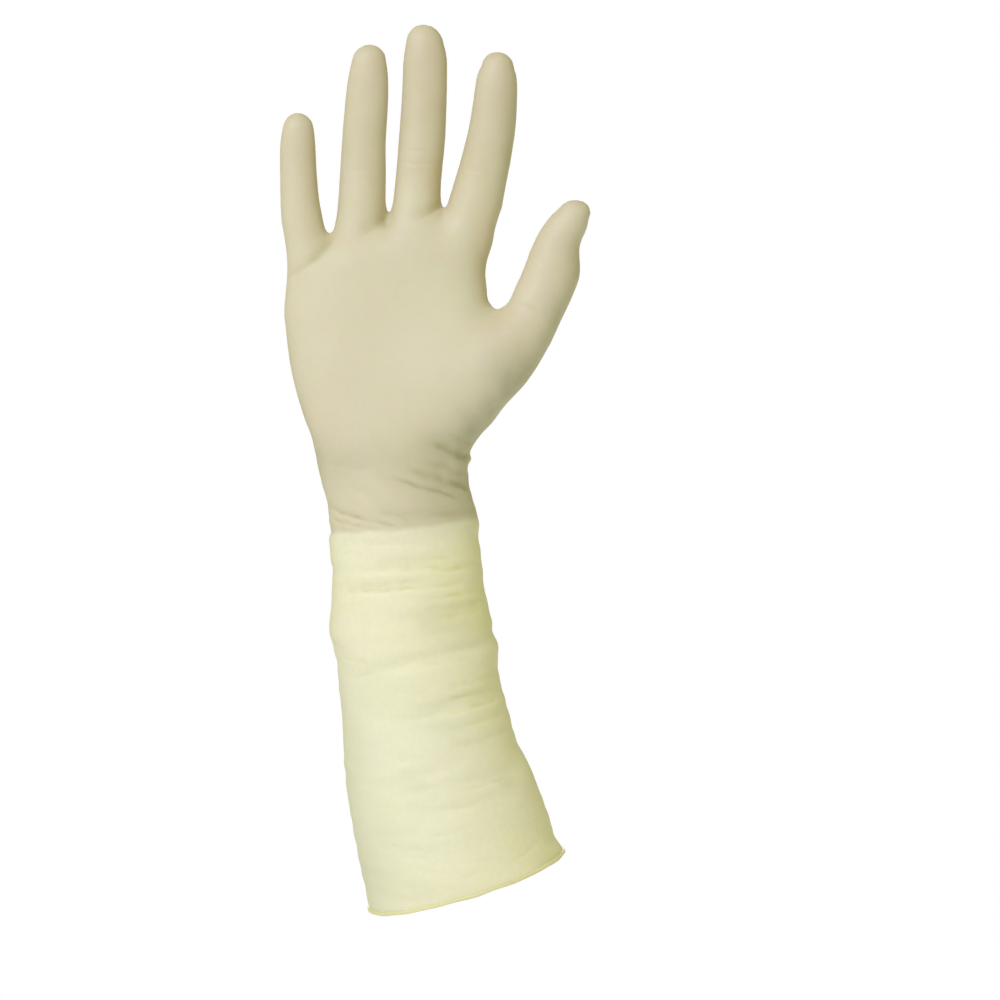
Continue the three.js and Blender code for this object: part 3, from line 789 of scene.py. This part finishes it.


# Latex: a satin film that light sinks into. Above the wrist its tone is a cool buff and the gauntlet's is a
# pale cream. Folds get painted shade: they are darker and yellower.
HAND_TONE = (0.695, 0.64, 0.417)
GAUNTLET_TONE = (0.909, 0.867, 0.59)
# Painted shade: the colours that the creases are multiplied by, for the hand and for the gauntlet.
HAND_FOLD_SHADE = (0.79, 0.79, 0.66)
GAUNTLET_FOLD_SHADE = (0.72, 0.72, 0.34)
PATCH_TONE = (0.85, 0.838, 0.46)
GRAIN_TONE = (0.62, 0.57, 0.38)
BLUSH_TONE = (0.73, 0.58, 0.44)
# Tint colours: flush and thin are the film's own tone; the orange, dull, deep and yellow ones are painted
# shade, and the upper palm's is painted light.
TINT_TONES = {
    "flush": (0.72, 0.57, 0.42),
    "thin": (0.59, 0.53, 0.33),
    "painted_warm_shade": (0.60, 0.48, 0.27),
    "painted_shade": (0.345, 0.345, 0.20),
    "painted_light": (0.755, 0.712, 0.47),
    "painted_low_shade": (0.765, 0.782, 0.55),
    "painted_yellow_shade": (0.88, 0.845, 0.42),
}
TINT_SHARE = 0.55
TINT_MOTTLE = 0.25
PATCH_SHARE = 0.35
GRAIN_SHARE = 0.1
BLUSH_SHARE = 0.3
SPOTS = {  # scale and detail of the noise, and its levels where a spot begins and where it is full
    "patch": (22, 3, 0.35, 0.7),
    "blush": (160, 4, 0.4, 0.7),
    "grain": (420, 3, 0.3, 0.7),
    "mottle": (60, 3, 0.3, 0.7),
}
FOLD_SHADE_RANGE = (0.3, 9.0)
TONE_BAND = 1.6 * MM
TONE_SAG = 1.9 * MM
TONE_WAVER = 1.2 * MM
WAVER_NOISE = (90, 2)
WRIST_MIDDLE_X = -27 * MM
WRIST_HALF = 33 * MM
SURFACE = {
    "Roughness": 0.52,
    "Specular IOR Level": 0.35,
    "Subsurface Weight": 0.25,
    "Subsurface Radius": (1.0, 0.7, 0.35),
    "Subsurface Scale": 3 * MM,
}
BUMP_STRENGTH = 0.12
BUMP_HEIGHT = 0.6 * MM
BUMP_NOISE = (700, 3)


def link(tree, start, end):
    """Joins the output of one node to the input of another."""
    tree.links.new(start, end)


def maths(tree, operation, *values):
    """A node that works out one number from two or three sockets or numbers."""
    node = tree.nodes.new("ShaderNodeMath")
    node.operation = operation
    for socket, value in zip(node.inputs, values):
        if isinstance(value, (int, float)):
            socket.default_value = value
        else:
            link(tree, value, socket)
    return node.outputs[0]


def ramped(tree, value, low, high):
    """A number that rises smoothly from 0 to 1 while the value goes from low to high."""
    node = tree.nodes.new("ShaderNodeMapRange")
    node.interpolation_type = "SMOOTHSTEP"
    node.inputs["From Min"].default_value = low
    node.inputs["From Max"].default_value = high
    link(tree, value, node.inputs["Value"])
    return node.outputs["Result"]


def mixed(tree, share, first, second, blend="MIX"):
    """A colour between two colours or colour sockets, or the first multiplied by a share of the second."""
    node = tree.nodes.new("ShaderNodeMix")
    node.data_type = "RGBA"
    node.blend_type = blend
    link(tree, share, node.inputs["Factor"])
    for socket, colour in zip((node.inputs["A"], node.inputs["B"]), (first, second)):
        if isinstance(colour, tuple):
            socket.default_value = (*colour, 1)
        else:
            link(tree, colour, socket)
    return node.outputs["Result"]


def noise(tree, place, scale, detail):
    """A soft random number between 0 and 1 at every place."""
    node = tree.nodes.new("ShaderNodeTexNoise")
    node.inputs["Scale"].default_value = scale
    node.inputs["Detail"].default_value = detail
    link(tree, place, node.inputs["Vector"])
    return node.outputs["Fac"]


def spots(tree, place, kind, share):
    """Random spots of a kind that SPOTS names, each as strong as the share where it is full."""
    scale, detail, low, high = SPOTS[kind]
    return maths(tree, "MULTIPLY", ramped(tree, noise(tree, place, scale, detail), low, high), share)


def held(tree, name):
    """The number that the mesh holds under a name."""
    node = tree.nodes.new("ShaderNodeAttribute")
    node.attribute_name = name
    return node.outputs["Fac"]


def above_tone_line(tree, place):
    """Height above the line where the tone changes: the line joins the two ends of the wrist, sags in between
    as a parabola and wavers with a noise."""
    axes = tree.nodes.new("ShaderNodeSeparateXYZ")
    link(tree, place, axes.inputs[0])
    slope = (WRIST_RIGHT[1] - WRIST_LEFT[1]) / (WRIST_RIGHT[0] - WRIST_LEFT[0])
    line = maths(tree, "MULTIPLY_ADD", axes.outputs["X"], slope, WRIST_LEFT[1] - slope * WRIST_LEFT[0])
    across = maths(tree, "DIVIDE", maths(tree, "SUBTRACT", axes.outputs["X"], WRIST_MIDDLE_X), WRIST_HALF)
    bulge = maths(tree, "SUBTRACT", 1.0, maths(tree, "MULTIPLY", across, across))
    line = maths(tree, "SUBTRACT", line, maths(tree, "MULTIPLY", bulge, TONE_SAG))
    waver = maths(tree, "SUBTRACT", noise(tree, place, *WAVER_NOISE), 0.5)
    waver = maths(tree, "MULTIPLY", waver, 2 * TONE_WAVER)
    return maths(tree, "ADD", maths(tree, "SUBTRACT", axes.outputs["Z"], line), waver)


def latex(name, gauntlet_tone):
    """The film's material. The hand's tone gives way to the gauntlet's across the wrist. Both are faintly
    patchy and grainy. The tints of the mesh are laid over them, mostly painted shade and one painted
    highlight, and the folds get painted shade."""
    material = bpy.data.materials.new(name)
    material.use_nodes = True
    tree = material.node_tree
    shader = tree.nodes["Principled BSDF"]
    place = tree.nodes.new("ShaderNodeTexCoord").outputs["Object"]
    on_hand = ramped(tree, above_tone_line(tree, place), -TONE_BAND, TONE_BAND)
    gauntlet = mixed(tree, spots(tree, place, "patch", PATCH_SHARE), gauntlet_tone, PATCH_TONE)
    hand = mixed(tree, spots(tree, place, "blush", BLUSH_SHARE), HAND_TONE, BLUSH_TONE)
    tone = mixed(tree, on_hand, gauntlet, hand)
    tone = mixed(tree, spots(tree, place, "grain", GRAIN_SHARE), tone, GRAIN_TONE)
    mottle = spots(tree, place, "mottle", TINT_MOTTLE)
    mottle = maths(tree, "ADD", mottle, TINT_SHARE - TINT_MOTTLE / 2)
    for key, colour in TINT_TONES.items():
        tone = mixed(tree, maths(tree, "MULTIPLY", mottle, held(tree, key)), tone, colour)
    # Painted shade in the creases: the deeper a crease, the more its colour is multiplied by the fold shade.
    fold_shade = ramped(tree, held(tree, "fold"), *FOLD_SHADE_RANGE)
    tone = mixed(tree, fold_shade, tone, mixed(tree, on_hand, GAUNTLET_FOLD_SHADE, HAND_FOLD_SHADE), "MULTIPLY")
    link(tree, tone, shader.inputs["Base Color"])
    for key, value in SURFACE.items():
        shader.inputs[key].default_value = value
    bump = tree.nodes.new("ShaderNodeBump")
    bump.inputs["Strength"].default_value = BUMP_STRENGTH
    bump.inputs["Distance"].default_value = BUMP_HEIGHT
    link(tree, noise(tree, place, *BUMP_NOISE), bump.inputs["Height"])
    link(tree, bump.outputs["Normal"], shader.inputs["Normal"])
    return material


# Hand film: the palm and the five seamless stalls. Dipping makes it one film, so it is one closed wall, and
# it ends at the wrist line, where the film of the gauntlet goes on.
hand_film = walled_part("hand_film", film_faces[above_wrist])
hand_film.data.materials.append(latex("hand_latex", GAUNTLET_TONE))
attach(hand_film, "root")
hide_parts("little_finger_stall", "ring_finger_stall", "middle_finger_stall")
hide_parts("index_finger_stall", "thumb_stall", "palm")

# Gauntlet film: the same dipped film from the wrist line to the mouth. It is slack there, so it lies in
# shallow folds, and it ends in the plane of the mouth.
gauntlet_film = walled_part("gauntlet_film", film_faces[~above_wrist])
gauntlet_film.data.materials.append(latex("gauntlet_latex", GAUNTLET_TONE))
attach(gauntlet_film, "root")
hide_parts("gauntlet")

# Rolled bead: the mouth's edge, rolled up on itself while the latex was wet. The roll is thin and a little
# uneven, and its thicker rubber is deeper in colour.
BEAD_RADIUS = 0.85 * MM
BEAD_TURNS = 480
BEAD_SIDES = 14
BEAD_UNEVEN = 0.12
BEAD_WAVER = 0.2 * MM
RIM_WAVES = ((5, 1), (11, 0), (17, 2))  # waves round the mouth, start in radians
ROLL_WAVES = ((7, 0), (13, 2))
BEAD_TONE = (0.76, 0.73, 0.39)


def wavering(angle, rows):
    """Half the sum of the rows' sine waves at an angle round the mouth."""
    return sum(np.sin(count * angle + start) for count, start in rows) / 2


angle = np.linspace(0, 2 * np.pi, BEAD_TURNS, endpoint=False)[:, None]
side = np.linspace(0, 2 * np.pi, BEAD_SIDES, endpoint=False)
half_across, half_deep = trunk_sizes[0, :2]
sideways, backwards = np.cos(angle) * trunk_across[0], np.sin(angle) * trunk_back[0]
outward = unit(sideways / half_across + backwards / half_deep)
rim = trunk_middle[0] + sideways * half_across + backwards * half_deep
rim = rim + mouth_down * BEAD_WAVER * wavering(angle, RIM_WAVES)
thick = BEAD_RADIUS * (1 + BEAD_UNEVEN * wavering(angle, ROLL_WAVES))
turn = outward[:, None] * np.cos(side)[:, None] + mouth_down * np.sin(side)[:, None]
bead_points = rim[:, None] + turn * thick[..., None]
ring, place = np.meshgrid(np.arange(BEAD_TURNS), np.arange(BEAD_SIDES), indexing="ij")
next_ring, next_place = (ring + 1) % BEAD_TURNS, (place + 1) % BEAD_SIDES
a, b = ring * BEAD_SIDES + place, ring * BEAD_SIDES + next_place
c, d = next_ring * BEAD_SIDES + next_place, next_ring * BEAD_SIDES + place
bead_faces = np.stack([a, b, c, d], axis=-1).reshape(-1, 4)
bead_mesh = mesh_of("rolled_bead", bead_points.reshape(-1, 3), bead_faces.tolist())
bead_mesh.shade_smooth()
rolled_bead = bpy.data.objects.new("rolled_bead", bead_mesh)
bpy.context.collection.objects.link(rolled_bead)
rolled_bead.data.materials.append(latex("bead_latex", BEAD_TONE))
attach(rolled_bead, "root")
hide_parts("cuff_bead")

# Studio: a pale floor with a soft glow well under the glove, a broad cool light high on the left in front, a
# weaker one behind, and a white surround whose own light on the film is dim and warm.
FLOOR_Z = -0.45
FLOOR_RADIUS = 3.0
FLOOR_SIDES = 64
FLOOR_TONE = (0.35, 0.35, 0.38, 1)
FLOOR_ROUGHNESS = 0.8
FLOOR_GLOW = 0.55
WHITE = (1.0, 1.0, 1.0)
SURROUND = (0.478, 0.47, 0.268)
LAMPS = (  # name, place, watts
    ("key", (-0.8, -1.5, 1.2), 28.8),
    ("back", (0, 1.9, 0.5), 15),
)
LAMP_TARGET = (0, 0, 0.2)
LAMP_SIZE = 0.8
LAMP_COLOUR = (0.73, 0.72, 0.98)

turn = np.linspace(0, 2 * np.pi, FLOOR_SIDES, endpoint=False)
floor_points = np.column_stack([np.cos(turn), np.sin(turn), np.zeros(FLOOR_SIDES)]) * FLOOR_RADIUS
floor_mesh = mesh_of("floor", floor_points, [list(range(FLOOR_SIDES))])
floor = bpy.data.objects.new("floor", floor_mesh)
floor.location.z = FLOOR_Z
bpy.context.collection.objects.link(floor)
floor_material = bpy.data.materials.new("floor")
floor_material.use_nodes = True
floor_shader = floor_material.node_tree.nodes["Principled BSDF"]
floor_shader.inputs["Base Color"].default_value = FLOOR_TONE
floor_shader.inputs["Roughness"].default_value = FLOOR_ROUGHNESS
floor_shader.inputs["Emission Color"].default_value = (*WHITE, 1)
floor_shader.inputs["Emission Strength"].default_value = FLOOR_GLOW
floor_mesh.materials.append(floor_material)

for name, place, watts in LAMPS:
    lamp_data = bpy.data.lights.new(name, "AREA")
    lamp_data.shape = "DISK"
    lamp_data.size = LAMP_SIZE
    lamp_data.energy = watts
    lamp_data.color = LAMP_COLOUR
    lamp = bpy.data.objects.new(name, lamp_data)
    lamp.location = place
    lamp.rotation_euler = (Vector(LAMP_TARGET) - Vector(place)).to_track_quat("-Z", "Y").to_euler()
    bpy.context.collection.objects.link(lamp)

world = bpy.data.worlds.new("surround")
bpy.context.scene.world = world
world.use_nodes = True
sky = world.node_tree
seen = sky.nodes.new("ShaderNodeLightPath").outputs["Is Camera Ray"]
link(sky, mixed(sky, seen, SURROUND, WHITE), sky.nodes["Background"].inputs["Color"])
bpy.context.scene.view_settings.view_transform = "Standard"
